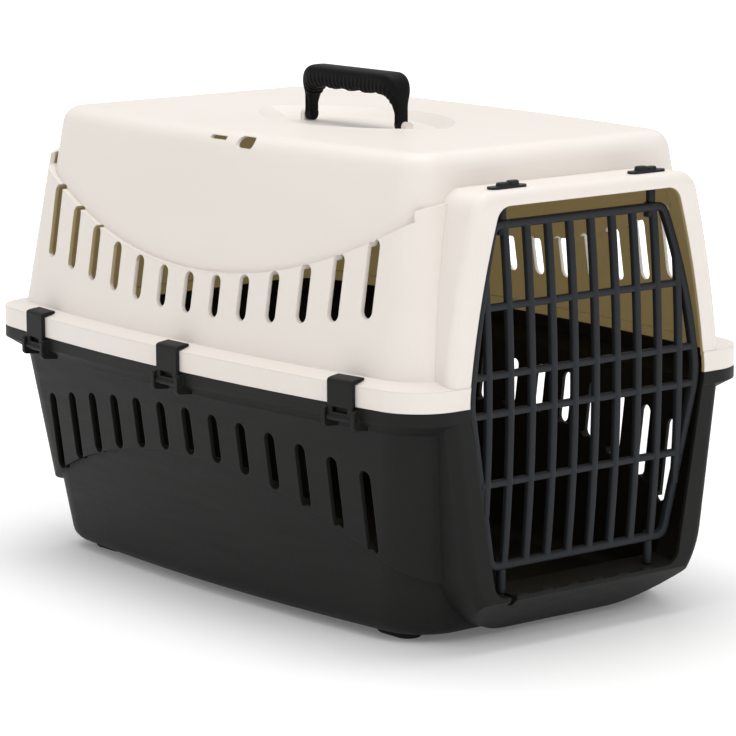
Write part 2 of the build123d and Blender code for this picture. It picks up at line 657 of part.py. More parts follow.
def handle():
    half = HANDLE_L / 2
    pivot_z = ROOF_RISE - HANDLE_PIVOT_DROP
    bow = extrude(handle_bow(), HANDLE_LEG_W / 2, both=True)
    grip_l = HANDLE_L - 2 * HANDLE_CORNER_R + GRIP_OVERLAP
    grip_mid = HANDLE_TOP - HANDLE_GRIP_H / 2
    grip_section = Pos(0, -grip_l / 2, grip_mid) * Rot(90, 0, 0) * RectangleRounded(
        HANDLE_GRIP_W, HANDLE_GRIP_H, GRIP_ROUND * HANDLE_GRIP_H)
    grip = extrude(grip_section, grip_l, dir=(0, 1, 0))
    body = bow + grip
    for i in range(FINGER_COUNT):
        y = (i - (FINGER_COUNT - 1) / 2) * grip_l / FINGER_COUNT
        z = HANDLE_TOP - HANDLE_GRIP_H - FINGER_R + FINGER_BITE
        body -= Pos(0, y, z) * Rot(0, 90, 0) * Cylinder(FINGER_R, 2 * HANDLE_GRIP_W)
    for i in range(GRIP_RIB_COUNT):
        y = (i - (GRIP_RIB_COUNT - 1) / 2) * GRIP_RIB_PITCH
        rib_h = HANDLE_GRIP_H - FINGER_BITE
        rib = Pos(0, y - GRIP_RIB_W / 2, HANDLE_TOP - rib_h / 2) * Rot(90, 0, 0) * RectangleRounded(
            HANDLE_GRIP_W + 2 * GRIP_RIB_H, rib_h, GRIP_ROUND * rib_h)
        body += extrude(rib, GRIP_RIB_W, dir=(0, 1, 0))
    for sign in (1, -1):
        y = sign * (half - HANDLE_LEG_T / 2)
        body += Pos(0, y, pivot_z) * Rot(90, 0, 0) * Cylinder(HANDLE_HUB_R, HANDLE_LEG_T)
        neck_h = HANDLE_LEG_END + 1
        body += Pos(0, y, pivot_z + neck_h / 2) * Box(2 * HANDLE_HUB_R, HANDLE_LEG_T, neck_h)
        pin_l = HANDLE_PIN_ROOT + EAR_GAP + HANDLE_PIN_L
        y_pin = sign * (half - HANDLE_PIN_ROOT + pin_l / 2)
        body += Pos(0, y_pin, pivot_z) * Rot(90, 0, 0) * Cylinder(HANDLE_PIN_R, pin_l)
    return body


def foot(sx, sy):
    pad = extrude(Pos(0, 0, -SEAM_Z) * SlotOverall(FOOT_L, FOOT_W, rotation=90), FOOT_H)
    pad = chamfer(pad.edges().group_by(Axis.Z)[0], FOOT_EDGE)
    return Pos(sx * FOOT_X, sy * FOOT_Y, 0) * pad


def save(shape, name):
    """Raise a shape from the seam frame to the floor frame and write it."""
    export_step(Pos(0, 0, SEAM_Z) * shape, f"parts/{name}.step")


def main():
    os.makedirs("parts", exist_ok=True)
    save(lower_shell(), "lower_shell")
    save(upper_shell(), "upper_shell")
    save(door_grille(), "door_grille")
    save(handle(), "carry_handle")
    for side, name in ((-1, "left"), (1, "right")):
        save(door_tab(side), f"door_tab_{name}")
        for y, place in zip(CLIP_YS, ("rear", "middle", "front")):
            save(clip_frame(side, y) * clip(), f"clip_{name}_{place}")
        for sy, place in ((1, "rear"), (-1, "front")):
            save(foot(side, sy), f"foot_{name}_{place}")


main()
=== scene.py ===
"""Studio scene of a two-part pet carrier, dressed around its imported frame. Metres, +Z up."""
import json
import logging
import math
from dataclasses import dataclass, field
from enum import Enum
from typing import Any, Iterable, Sequence

import bmesh
import bpy
from mathutils import Matrix, Vector


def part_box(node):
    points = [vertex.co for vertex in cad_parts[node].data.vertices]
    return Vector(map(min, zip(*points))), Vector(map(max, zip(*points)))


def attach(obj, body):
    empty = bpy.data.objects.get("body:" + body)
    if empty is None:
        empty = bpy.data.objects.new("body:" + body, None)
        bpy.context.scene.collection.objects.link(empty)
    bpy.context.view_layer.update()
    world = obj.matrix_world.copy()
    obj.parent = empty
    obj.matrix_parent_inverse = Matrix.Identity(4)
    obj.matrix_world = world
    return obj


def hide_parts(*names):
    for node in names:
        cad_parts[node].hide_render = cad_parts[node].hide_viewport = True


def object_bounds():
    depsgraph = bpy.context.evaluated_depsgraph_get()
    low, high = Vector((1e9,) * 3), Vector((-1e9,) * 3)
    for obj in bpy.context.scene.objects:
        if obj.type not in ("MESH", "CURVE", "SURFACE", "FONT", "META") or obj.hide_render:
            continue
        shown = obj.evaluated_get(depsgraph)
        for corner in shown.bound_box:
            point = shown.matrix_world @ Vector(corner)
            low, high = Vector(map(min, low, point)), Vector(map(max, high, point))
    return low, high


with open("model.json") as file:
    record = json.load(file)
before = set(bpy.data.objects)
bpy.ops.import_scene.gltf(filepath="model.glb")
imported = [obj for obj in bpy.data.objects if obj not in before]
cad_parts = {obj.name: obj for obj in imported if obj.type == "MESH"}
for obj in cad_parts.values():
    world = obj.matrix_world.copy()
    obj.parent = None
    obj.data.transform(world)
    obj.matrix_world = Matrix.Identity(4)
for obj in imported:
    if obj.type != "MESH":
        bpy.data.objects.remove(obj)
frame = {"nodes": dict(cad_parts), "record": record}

CAD_LOW, CAD_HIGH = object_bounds()
SEAM_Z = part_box("upper_shell")[0].z
# Where the lid's outer shoulder ends lie: their distance from the middle and their height
SHOULDER_OUT = (0.1065, 0.1085)
SHOULDER_UP = (SEAM_Z + 0.096, SEAM_Z + 0.099)

# Points closer than this are one
MERGE_WITHIN = 1e-7
# Half the angle between a corner's sides, from which the corner counts as straight
STRAIGHT_HALF = math.radians(89.5)

Colour = tuple[float, float, float, float]
Triple = tuple[float, float, float]
Pair = tuple[float, float]
Station = tuple[Vector, Vector, float]
Socket = bpy.types.NodeSocket

log = logging.getLogger("carrier")


class Slot(Enum):
    """Material slots of the record that pieces take their finish from."""

    LID = "lid_plastic"
    TUB = "tub_plastic"
    GREY = "grey_plastic"
    PAD = "foot_rubber"


# Node graphs


class Tree:
    """A node tree, material or geometry, with one method that makes its nodes."""

    def __init__(self, tree: bpy.types.NodeTree) -> None:
        """Start from an empty tree.

        Args:
            tree: The node tree to fill.
        """
        self.tree = tree
        tree.nodes.clear()

    def node(
        self,
        kind: str,
        settings: dict[str, Any] | None = None,
        sockets: dict[Any, Any] | None = None,
    ) -> bpy.types.Node:
        """Add one node.

        Args:
            kind: The node's type name.
            settings: Properties of the node.
            sockets: Input names or indices with values, sockets or Num expressions.

        Returns:
            The new node.
        """
        node = self.tree.nodes.new(kind)
        for name, value in (settings or {}).items():
            setattr(node, name, value)
        for name, value in (sockets or {}).items():
            if isinstance(value, Num):
                value = value.socket
            if isinstance(value, Socket):
                self.tree.links.new(value, node.inputs[name])
            else:
                node.inputs[name].default_value = value
        return node


class Num:
    """A number in a shader tree that takes part in Python arithmetic."""

    def __init__(self, graph: Tree, socket: Socket) -> None:
        """Wrap an output socket.

        Args:
            graph: The tree that the socket belongs to.
            socket: The output that carries the number.
        """
        self.graph = graph
        self.socket = socket

    def _math(self, operation: str, first: Any, second: Any) -> "Num":
        """Add a Math node on two values and wrap its output."""
        node = self.graph.node("ShaderNodeMath", {"operation": operation}, {0: first, 1: second})
        return Num(self.graph, node.outputs[0])

    def __add__(self, other: Any) -> "Num":
        """Sum."""
        return self._math("ADD", self, other)

    __radd__ = __add__

    def __sub__(self, other: Any) -> "Num":
        """Difference."""
        return self._math("SUBTRACT", self, other)

    def __rsub__(self, other: Any) -> "Num":
        """Difference, reflected."""
        return self._math("SUBTRACT", other, self)

    def __mul__(self, other: Any) -> "Num":
        """Product."""
        return self._math("MULTIPLY", self, other)

    __rmul__ = __mul__

    def clamped(self) -> "Num":
        """The number held between 0 and 1."""
        node = self.graph.node("ShaderNodeClamp", {}, {"Value": self})
        return Num(self.graph, node.outputs[0])

    def size(self) -> "Num":
        """The number without its sign."""
        return self._math("ABSOLUTE", self, 0.0)

    def smooth(self, low: float, high: float) -> "Num":
        """Smooth step.

        Args:
            low: Where the step starts, at 0.
            high: Where the step ends, at 1.

        Returns:
            The stepped number.
        """
        settings = {"interpolation_type": "SMOOTHSTEP"}
        node = self.graph.node(
            "ShaderNodeMapRange", settings, {"Value": self, "From Min": low, "From Max": high}
        )
        return Num(self.graph, node.outputs[0])


class Shader(Tree):
    """A material's tree with the inputs that every finish here starts from."""

    OCTAVE_SHARE = 0.55
    EDGE_SAMPLES = 6
    EDGE_STEP = (0.01, 0.25)
    INWARD_STEP = (0.2, 0.45)
    SIDEWAYS_STEP = (0.3, 0.6)

    def __init__(self, name: str) -> None:
        """Make the material.

        Args:
            name: The material's name.
        """
        self.material = bpy.data.materials.new(name)
        self.material.use_nodes = True
        super().__init__(self.material.node_tree)
        self.place = self.node("ShaderNodeTexCoord").outputs["Object"]

    def noise(
        self,
        scale: float,
        detail: float = 2.0,
        stretch: Triple = (1.0, 1.0, 1.0),
    ) -> Num:
        """Noise over the object's own coordinates.

        Args:
            scale: Features per metre.
            detail: Octaves of finer noise.
            stretch: Scale along each axis.

        Returns:
            The noise, about 0 to 1.
        """
        moved = self.node("ShaderNodeMapping", {}, {"Vector": self.place, "Scale": stretch})
        node = self.node(
            "ShaderNodeTexNoise", {},
            {
                "Vector": moved.outputs[0], "Scale": scale, "Detail": detail,
                "Roughness": self.OCTAVE_SHARE,
            },
        )
        return Num(self, node.outputs["Fac"])

    def edges(self, radius: float) -> tuple[Socket, Num]:
        """Rounded normal and a mask of the edges that it rounds.

        Args:
            radius: Size of the rounding.

        Returns:
            The rounded normal and a mask, 1 on edges.
        """
        rounded = self.node("ShaderNodeBevel", {"samples": self.EDGE_SAMPLES}, {"Radius": radius})
        flat = self.node("ShaderNodeNewGeometry")
        dot = self.node(
            "ShaderNodeVectorMath", {"operation": "DOT_PRODUCT"},
            {0: rounded.outputs[0], 1: flat.outputs["Normal"]},
        )
        mask = (1.0 - Num(self, dot.outputs["Value"])).smooth(*self.EDGE_STEP)
        return rounded.outputs[0], mask

    def inner_faces(self) -> Num:
        """Mask of the faces that look into the carrier, 1 on those faces and 0 on outer ones; it
        places the painted inner shade and the painted glow.

        Returns:
            The mask.
        """
        half = (CAD_HIGH - CAD_LOW) / 2
        centred = self.node(
            "ShaderNodeMapping", {"vector_type": "TEXTURE"},
            {"Vector": self.place, "Location": (0.0, 0.0, SEAM_Z), "Scale": half},
        )
        facing = self.node("ShaderNodeNewGeometry").outputs["Normal"]
        dot = self.node(
            "ShaderNodeVectorMath", {"operation": "DOT_PRODUCT"}, {0: centred.outputs[0], 1: facing}
        )
        inner = (0.0 - Num(self, dot.outputs["Value"])).smooth(*self.INWARD_STEP)
        at = self.node("ShaderNodeSeparateXYZ", {}, {0: self.place}).outputs
        turned_x = self.node("ShaderNodeSeparateXYZ", {}, {0: facing}).outputs["X"]
        far_out = Num(self, at["X"]).size().smooth(*SHOULDER_OUT)
        high_up = Num(self, at["Z"]).smooth(*SHOULDER_UP)
        sideways = Num(self, turned_x).size().smooth(*self.SIDEWAYS_STEP)
        return inner * (1.0 - far_out * high_up * (1.0 - sideways))

    def blend(self, factor: Num, first: Any, second: Any) -> Socket:
        """Mix two colours.

        Args:
            factor: 0 for the first colour, 1 for the second.
            first: A colour or a colour socket.
            second: A colour or a colour socket.

        Returns:
            The mixed colour.
        """
        node = self.node(
            "ShaderNodeMix", {"data_type": "RGBA"}, {"Factor": factor, 6: first, 7: second}
        )
        return node.outputs[2]

    def relief(self, height: Num, depth: float, normal: Socket) -> Socket:
        """Bump on a normal.

        Args:
            height: The relief, 0 to 1.
            depth: What 0 to 1 stands for, in metres.
            normal: The normal under the relief.

        Returns:
            The bumped normal.
        """
        node = self.node(
            "ShaderNodeBump", {}, {"Height": height, "Distance": depth, "Normal": normal}
        )
        return node.outputs[0]

    def surface(self, sockets: dict[str, Any]) -> bpy.types.Material:
        """End the tree in a Principled shader.

        Args:
            sockets: The shader's inputs.

        Returns:
            The finished material.
        """
        shader = self.node("ShaderNodeBsdfPrincipled", {}, sockets)
        self.node("ShaderNodeOutputMaterial", {}, {"Surface": shader.outputs[0]})
        return self.material


# Finishes


@dataclass(frozen=True)
class MouldedPlastic:
    """Injection-moulded plastic: tone drift, spark-eroded grain, lighter scuffed edges that are
    partly abrasion and partly a painted highlight, and optional painted shade and glow on inner
    faces.
    """

    name: str
    slot: Slot
    colour: Colour
    drift: Colour
    # Lighter edge colour: partly abrasion, partly a painted highlight
    edge: Colour
    roughness: float
    roughness_swing: float
    grain_scale: float
    grain_depth: float
    edge_radius: float
    specular: float
    # Painted shade, tinted warm like bounced light, and a painted glow for faces that look into the
    # carrier
    inner_painted_shade: Colour | None = None
    inner_painted_glow: Colour | None = None
    flow_scale: float = 5.0
    flow_stretch: Triple = (1.0, 0.6, 1.6)
    flow_octaves: float = 3.0
    flow_step: Pair = (0.35, 0.7)
    scuff_scale: float = 70.0
    scuff_stretch: Triple = (1.0, 0.25, 3.0)
    scuff_octaves: float = 4.0
    scuff_step: Pair = (0.3, 0.75)
    speck_share: float = 0.35
    speck_octaves: float = 1.0
    speck_gloss: float = 0.5
    speck_relief: float = 0.2
    # Strength of the edge lightening, abrasion and painted highlight together
    wear_and_highlight: float = 0.6
    polish: float = 0.05

    def build(self) -> bpy.types.Material:
        """Make the material.

        Returns:
            The finished material.
        """
        shader = Shader(self.name)
        rounded, edge_mask = shader.edges(self.edge_radius)
        flow = shader.noise(self.flow_scale, self.flow_octaves, self.flow_stretch)
        speck = shader.noise(self.grain_scale * self.speck_share, self.speck_octaves)
        grain = shader.noise(self.grain_scale)
        scuff = shader.noise(self.scuff_scale, self.scuff_octaves, self.scuff_stretch)
        tone = shader.blend(flow.smooth(*self.flow_step), self.colour, self.drift)
        # Edges lightened in scuff patches: partly abrasion, partly a painted highlight
        rubbed_and_highlit = edge_mask * scuff.smooth(*self.scuff_step) * self.wear_and_highlight
        worn_and_highlit = shader.blend(rubbed_and_highlit, tone, self.edge)
        rough = self.roughness + (scuff - 0.5) * self.roughness_swing
        rough = rough + speck * (self.roughness_swing * self.speck_gloss) - edge_mask * self.polish
        height = grain * (1.0 - self.speck_relief) + speck * self.speck_relief
        relief = shader.relief(height, self.grain_depth, rounded)
        sockets = {
            "Base Color": worn_and_highlit,
            "Roughness": rough.clamped(),
            "Normal": relief,
            "Specular IOR Level": self.specular,
        }
        if self.inner_painted_shade:
            # Faces that look into the carrier get a darker tan as painted shade and an emission as
            # a painted glow
            inner = shader.inner_faces()
            sockets["Base Color"] = shader.blend(inner, worn_and_highlit, self.inner_painted_shade)
            sockets["Emission Color"] = shader.blend(inner, (0.0, 0.0, 0.0, 1.0), self.inner_painted_glow)
            sockets["Emission Strength"] = 1.0
        return shader.surface(sockets)


@dataclass(frozen=True)
class PadRubber:
    """Matt black rubber of the rest pads, dusty and faintly pitted."""

    name: str = "matt_pad_rubber"
    slot: Slot = Slot.PAD
    colour: Colour = (0.012, 0.012, 0.012, 1.0)
    dust: Colour = (0.045, 0.043, 0.04, 1.0)
    roughness: float = 0.82
    roughness_swing: float = 0.15
    specular: float = 0.3
    edge_radius: float = 0.0006
    pit_scale: float = 2200.0
    pit_depth: float = 0.0001
    patch_scale: float = 60.0
    patch_octaves: float = 4.0
    dust_step: Pair = (0.45, 0.8)
    dust_share: float = 0.5
    edge_dust: float = 0.3

    def build(self) -> bpy.types.Material:
        """Make the material.

        Returns:
            The finished material.
        """
        shader = Shader(self.name)
        rounded, edge_mask = shader.edges(self.edge_radius)
        pits = shader.noise(self.pit_scale)
        patches = shader.noise(self.patch_scale, self.patch_octaves)
        dusty = patches.smooth(*self.dust_step) * self.dust_share + edge_mask * self.edge_dust
        return shader.surface({
            "Base Color": shader.blend(dusty.clamped(), self.colour, self.dust),
            "Roughness": (self.roughness + (patches - 0.5) * self.roughness_swing).clamped(),
            "Normal": shader.relief(pits, self.pit_depth, rounded),
            "Specular IOR Level": self.specular,
        })


@dataclass(frozen=True)
class FloorPaper:
    """Plain pale studio paper with the faintest tooth and a painted glow that is weaker near the
    object, so the paper is darker round it and brighter away from it.
    """

    name: str = "pale_studio_paper"
    colour: Colour = (0.93, 0.93, 0.93, 1.0)
    roughness: float = 0.9
    roughness_swing: float = 0.1
    specular: float = 0.2
    # Painted glow of the paper: low near the object, a painted shade round it, and high far off
    near_glow: Colour = (0.11, 0.11, 0.11, 1.0)
    far_glow: Colour = (0.56, 0.56, 0.56, 1.0)
    near_r: float = 0.32
    far_r: float = 1.3
    tooth_scale: float = 900.0
    tooth_depth: float = 0.00003

    def build(self) -> bpy.types.Material:
        """Make the material.

        Returns:
            The finished material.
        """
        shader = Shader(self.name)
        tooth = shader.noise(self.tooth_scale)
        normal = shader.node("ShaderNodeNewGeometry").outputs["Normal"]
        distance = shader.node("ShaderNodeVectorMath", {"operation": "LENGTH"}, {0: shader.place})
        away = Num(shader, distance.outputs["Value"]).smooth(self.near_r, self.far_r)
        return shader.surface({
            "Base Color": self.colour,
            "Roughness": (self.roughness + (tooth - 0.5) * self.roughness_swing).clamped(),
            "Normal": shader.relief(tooth, self.tooth_depth, normal),
            "Specular IOR Level": self.specular,
            # Painted glow, blended from near to far by distance from the middle
            "Emission Color": shader.blend(away, self.near_glow, self.far_glow),
            "Emission Strength": 1.0,
        })


LID_PLASTIC = MouldedPlastic(
    name="cream_lid_plastic", slot=Slot.LID,
    colour=(0.79, 0.738, 0.688, 1.0), drift=(0.775, 0.72, 0.665, 1.0), edge=(0.86, 0.82, 0.78, 1.0),
    roughness=0.42, roughness_swing=0.10, grain_scale=1500.0, grain_depth=0.00005,
    edge_radius=0.0012, specular=0.4,
    # Painted shade and painted glow on the lid's inner faces
    inner_painted_shade=(0.30, 0.245, 0.15, 1.0), inner_painted_glow=(0.100, 0.073, 0.029, 1.0),
)
TUB_PLASTIC = MouldedPlastic(
    name="anthracite_tub_plastic", slot=Slot.TUB,
    colour=(0.0098, 0.0100, 0.0094, 1.0), drift=(0.0120, 0.0121, 0.0112, 1.0),
    edge=(0.036, 0.036, 0.033, 1.0),
    roughness=0.50, roughness_swing=0.14, grain_scale=1300.0, grain_depth=0.00012,
    edge_radius=0.001, specular=0.15,
)
GREY_PLASTIC = MouldedPlastic(
    name="slate_grey_plastic", slot=Slot.GREY,
    colour=(0.0130, 0.0155, 0.0190, 1.0), drift=(0.0150, 0.0175, 0.0210, 1.0),
    edge=(0.040, 0.043, 0.047, 1.0),
    roughness=0.42, roughness_swing=0.12, grain_scale=1800.0, grain_depth=0.00006,
    edge_radius=0.0005, specular=0.2,
)
GRIP_PLASTIC = MouldedPlastic(
    name="black_grip_plastic", slot=Slot.GREY,
    colour=(0.0040, 0.0040, 0.0042, 1.0), drift=(0.0052, 0.0052, 0.0054, 1.0),
    edge=(0.017, 0.017, 0.017, 1.0),
    roughness=0.46, roughness_swing=0.12, grain_scale=1600.0, grain_depth=0.00008,
    edge_radius=0.0004, specular=0.1,
)
PAD_RUBBER = PadRubber()


class Workshop:
    """Holds the built finishes and turns raw meshes into finished pieces."""

    SHARP_FROM = math.radians(38.0)

    def __init__(self, finishes: Iterable[Any]) -> None:
        """Build every finish once.

        Args:
            finishes: Finish records with a slot and a build method.
        """
        self.materials = {finish: finish.build() for finish in finishes}

    def dress_node(self, node: str, finish: Any) -> None:
        """Give a carried-over node its finish.

        Args:
            node: The node's name.
            finish: The finish that it takes.
        """
        for holder in frame["nodes"][node].material_slots:
            holder.material = self.materials[finish]
        log.info("dressed %s with %s", node, finish.name)

    def piece(
        self,
        name: str,
        mesh: bpy.types.Mesh,
        finish: Any,
        body: str,
        stands_for: Sequence[str] = (),
    ) -> None:
        """Finish a mesh as a piece that rides on a body.

        Args:
            name: The piece's name.
            mesh: Its mesh, in the frame's coordinates.
            finish: The finish that it takes.
            body: The body that it rides on.
            stands_for: Nodes that it replaces.
        """
        mesh.materials.clear()
        mesh.materials.append(self.materials[finish])
        for polygon in mesh.polygons:
            polygon.material_index = 0
            polygon.use_smooth = True
        mesh.set_sharp_from_angle(angle=self.SHARP_FROM)
        piece = bpy.data.objects.new(name, mesh)
        bpy.context.scene.collection.objects.link(piece)
        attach(piece, body)
        if stands_for:
            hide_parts(*stands_for)
        log.info("piece %s on %s, %d faces", name, body, len(mesh.polygons))


# Mesh helpers


def mesh_from(bm: bmesh.types.BMesh, name: str) -> bpy.types.Mesh:
    """Close a bmesh into a mesh with outward faces.

    Args:
        bm: The mesh being edited; it is freed.
        name: The mesh's name.

    Returns:
        The mesh.
    """
    bmesh.ops.remove_doubles(bm, verts=bm.verts, dist=MERGE_WITHIN)
    bmesh.ops.recalc_face_normals(bm, faces=bm.faces)
    mesh = bpy.data.meshes.new(name)
    bm.to_mesh(mesh)
    bm.free()
    return mesh


def joined(meshes: Sequence[bpy.types.Mesh], name: str) -> bpy.types.Mesh:
    """Join meshes into one.

    Args:
        meshes: The meshes, in the same coordinates.
        name: The new mesh's name.

    Returns:
        The joined mesh.
    """
    bm = bmesh.new()
    for mesh in meshes:
        bm.from_mesh(mesh)
    whole = bpy.data.meshes.new(name)
    bm.to_mesh(whole)
    bm.free()
    return whole


def bridge(bm: bmesh.types.BMesh, rings: Sequence[Sequence[Vector]]) -> None:
    """Skin closed rings of equal count one after another and cap both ends.

    Args:
        bm: The mesh to add to.
        rings: Points of each ring.
    """
    rows = [[bm.verts.new(point) for point in ring] for ring in rings]
    for low, high in zip(rows, rows[1:]):
        for i in range(len(low)):
            j = (i + 1) % len(low)
            bm.faces.new((low[i], low[j], high[j], high[i]))
    bm.faces.new(list(reversed(rows[0])))
    bm.faces.new(rows[-1])


def turned(
    bm: bmesh.types.BMesh,
    profile: Sequence[Pair],
    centre: Vector,
    axis: Vector,
    sides: int = 28,
) -> None:
    """Turn a profile round an axis into a closed body.

    Args:
        bm: The mesh to add to.
        profile: (radius, distance along the axis) pairs.
        centre: Where the axis starts.
        axis: The axis' direction.
        sides: Facets round the axis.
    """
    turn = axis.normalized().to_track_quat("Z", "Y").to_matrix()
    rings = []
    for radius, along in profile:
        ring = []
        for i in range(sides):
            angle = 2 * math.pi * i / sides
            spoke = Vector((radius * math.cos(angle), radius * math.sin(angle), along))
            ring.append(centre + turn @ spoke)
        rings.append(ring)
    bridge(bm, rings)


def rounded_path(
    corners: Sequence[Triple], steps: int = 8
) -> list[Pair]:
    """Closed 2D path with its corners turned on arcs.

    Args:
        corners: (x, y, radius) of each corner; a radius of 0 leaves it sharp.
        steps: Points on each arc.

    Returns:
        The path's points.
    """
    path = []
    count = len(corners)
    for i, (x, y, radius) in enumerate(corners):
        here = Vector((x, y))
        before = Vector(corners[i - 1][:2])
        after = Vector(corners[(i + 1) % count][:2])
        to_before = (before - here).normalized()
        to_after = (after - here).normalized()
        half = to_before.angle(to_after) / 2
        if radius == 0 or half > STRAIGHT_HALF:
            path.append((x, y))
            continue
        centre = here + (to_before + to_after).normalized() * (radius / math.sin(half))
        start = here + to_before * (radius / math.tan(half)) - centre
        end = here + to_after * (radius / math.tan(half)) - centre
        sweep = start.angle_signed(end)
        for k in range(steps + 1):
            angle = -sweep * k / steps
            spoke = Matrix.Rotation(angle, 2) @ start
            path.append(tuple(centre + spoke))
    return path


def inset_path(path: Sequence[Pair], inset: float) -> list[Pair]:
    """Closed path moved inwards.

    Args:
        path: Points in clockwise order.
        inset: Distance to move.

    Returns:
        The moved points.
    """
    moved = []
    count = len(path)
    for i, point in enumerate(path):
        along = Vector(path[(i + 1) % count]) - Vector(path[i - 1])
        inward = Vector((along.y, -along.x)).normalized()
        moved.append(tuple(Vector(point) + inward * inset))
    return moved


class SweepTree(Tree):
    """Geometry Nodes that sweep a rounded bar along every edge path of a mesh."""

    INPUTS = ("Width", "Depth", "Corner")
    CORNER_STEPS = 3

    def __init__(self, material: bpy.types.Material) -> None:
        """Build the tree.

        Args:
            material: The finish that the bars take.
        """
        super().__init__(bpy.data.node_groups.new("swept_bars", "GeometryNodeTree"))
        face = self.tree.interface
        face.new_socket("Geometry", in_out="INPUT", socket_type="NodeSocketGeometry")
        self.identifiers = {}
        for name in self.INPUTS:
            item = face.new_socket(name, in_out="INPUT", socket_type="NodeSocketFloat")
            self.identifiers[name] = item.identifier
        face.new_socket("Geometry", in_out="OUTPUT", socket_type="NodeSocketGeometry")
        given = self.node("NodeGroupInput").outputs
        side = self.node(
            "GeometryNodeInputNamedAttribute", {"data_type": "FLOAT_VECTOR"}, {"Name": "side"}
        )
        path = self.node("GeometryNodeMeshToCurve", {}, {"Mesh": given["Geometry"]})
        held = self.node(
            "GeometryNodeSetCurveNormal", {"mode": "FREE"},
            {"Curve": path.outputs[0], "Normal": side.outputs[0]},
        )
        section = self.node(
            "GeometryNodeCurvePrimitiveQuadrilateral", {},
            {"Width": given["Width"], "Height": given["Depth"]},
        )
        eased = self.node(
            "GeometryNodeFilletCurve", {"mode": "POLY"},
            {"Curve": section.outputs[0], "Radius": given["Corner"], "Count": self.CORNER_STEPS},
        )
        swept = self.node(
            "GeometryNodeCurveToMesh", {},
            {"Curve": held.outputs[0], "Profile Curve": eased.outputs[0], "Fill Caps": True},
        )
        real = self.node("GeometryNodeRealizeInstances", {}, {"Geometry": swept.outputs[0]})
        dressed = self.node(
            "GeometryNodeSetMaterial", {}, {"Geometry": real.outputs[0], "Material": material}
        )
        self.node("NodeGroupOutput", {}, {"Geometry": dressed.outputs[0]})

    def bake(
        self,
        paths: Sequence[tuple[Sequence[Vector], bool, Vector]],
        sizes: dict[str, float],
        name: str,
    ) -> bpy.types.Mesh:
        """Sweep the bar along paths and return the plain mesh.

        Args:
            paths: Points, whether the path is closed, and the direction of the bar's width.
            sizes: The tree's named inputs.
            name: The mesh's name.

        Returns:
            The swept mesh.
        """
        points, edges, sides = [], [], []
        for line, closed, side in paths:
            first = len(points)
            points.extend(line)
            sides.extend([side] * len(line))
            edges.extend((first + i, first + i + 1) for i in range(len(line) - 1))
            if closed:
                edges.append((first + len(line) - 1, first))
        wire = bpy.data.meshes.new(name + "_paths")
        wire.from_pydata(points, edges, [])
        attribute = wire.attributes.new("side", "FLOAT_VECTOR", "POINT")
        for i, side in enumerate(sides):
            attribute.data[i].vector = side
        holder = bpy.data.objects.new(name + "_paths", wire)
        bpy.context.scene.collection.objects.link(holder)
        modifier = holder.modifiers.new("sweep", "NODES")
        modifier.node_group = self.tree
        for label, value in sizes.items():
            modifier[self.identifiers[label]] = value
        graph = bpy.context.evaluated_depsgraph_get()
        mesh = bpy.data.meshes.new_from_object(holder.evaluated_get(graph))
        mesh.name = name
        holder.modifiers.remove(modifier)
        bpy.data.objects.remove(holder)
        return mesh


# Sub-assemblies


@dataclass
class Shells:
    """Tub and lid, carried over, with the small relief that the sill has."""

    sill_front_y: float = -0.2262
    sill_z: float = SEAM_Z - 0.1213
    bump_count: int = 6
    bump_pitch: float = 0.021
    bump_size: Triple = (0.0052, 0.0032, 0.0016)
    bump_sides: int = 20
    bump_rings: int = 12

    def build(self, shop: Workshop) -> None:
        """Dress both shells and add the sill's low studs.

        Args:
            shop: The workshop that holds the finishes.
        """
        shop.dress_node("upper_shell", LID_PLASTIC)
        shop.dress_node("lower_shell", TUB_PLASTIC)
        shop.piece("sill_studs", self._studs(), TUB_PLASTIC, "carrier")

    def _studs(self) -> bpy.types.Mesh:
        """Row of low rounded studs along the sill's front edge.

        Returns:
            The studs' mesh.
        """
        bm = bmesh.new()
        for i in range(self.bump_count):
            x = (i - (self.bump_count - 1) / 2) * self.bump_pitch
            place = Matrix.Translation((x, self.sill_front_y, self.sill_z))
            size = Matrix.Diagonal((*self.bump_size, 1.0))
            bmesh.ops.create_uvsphere(
                bm, u_segments=self.bump_sides, v_segments=self.bump_rings, radius=1.0,
                matrix=place @ size,
            )
        return mesh_from(bm, "sill_studs")


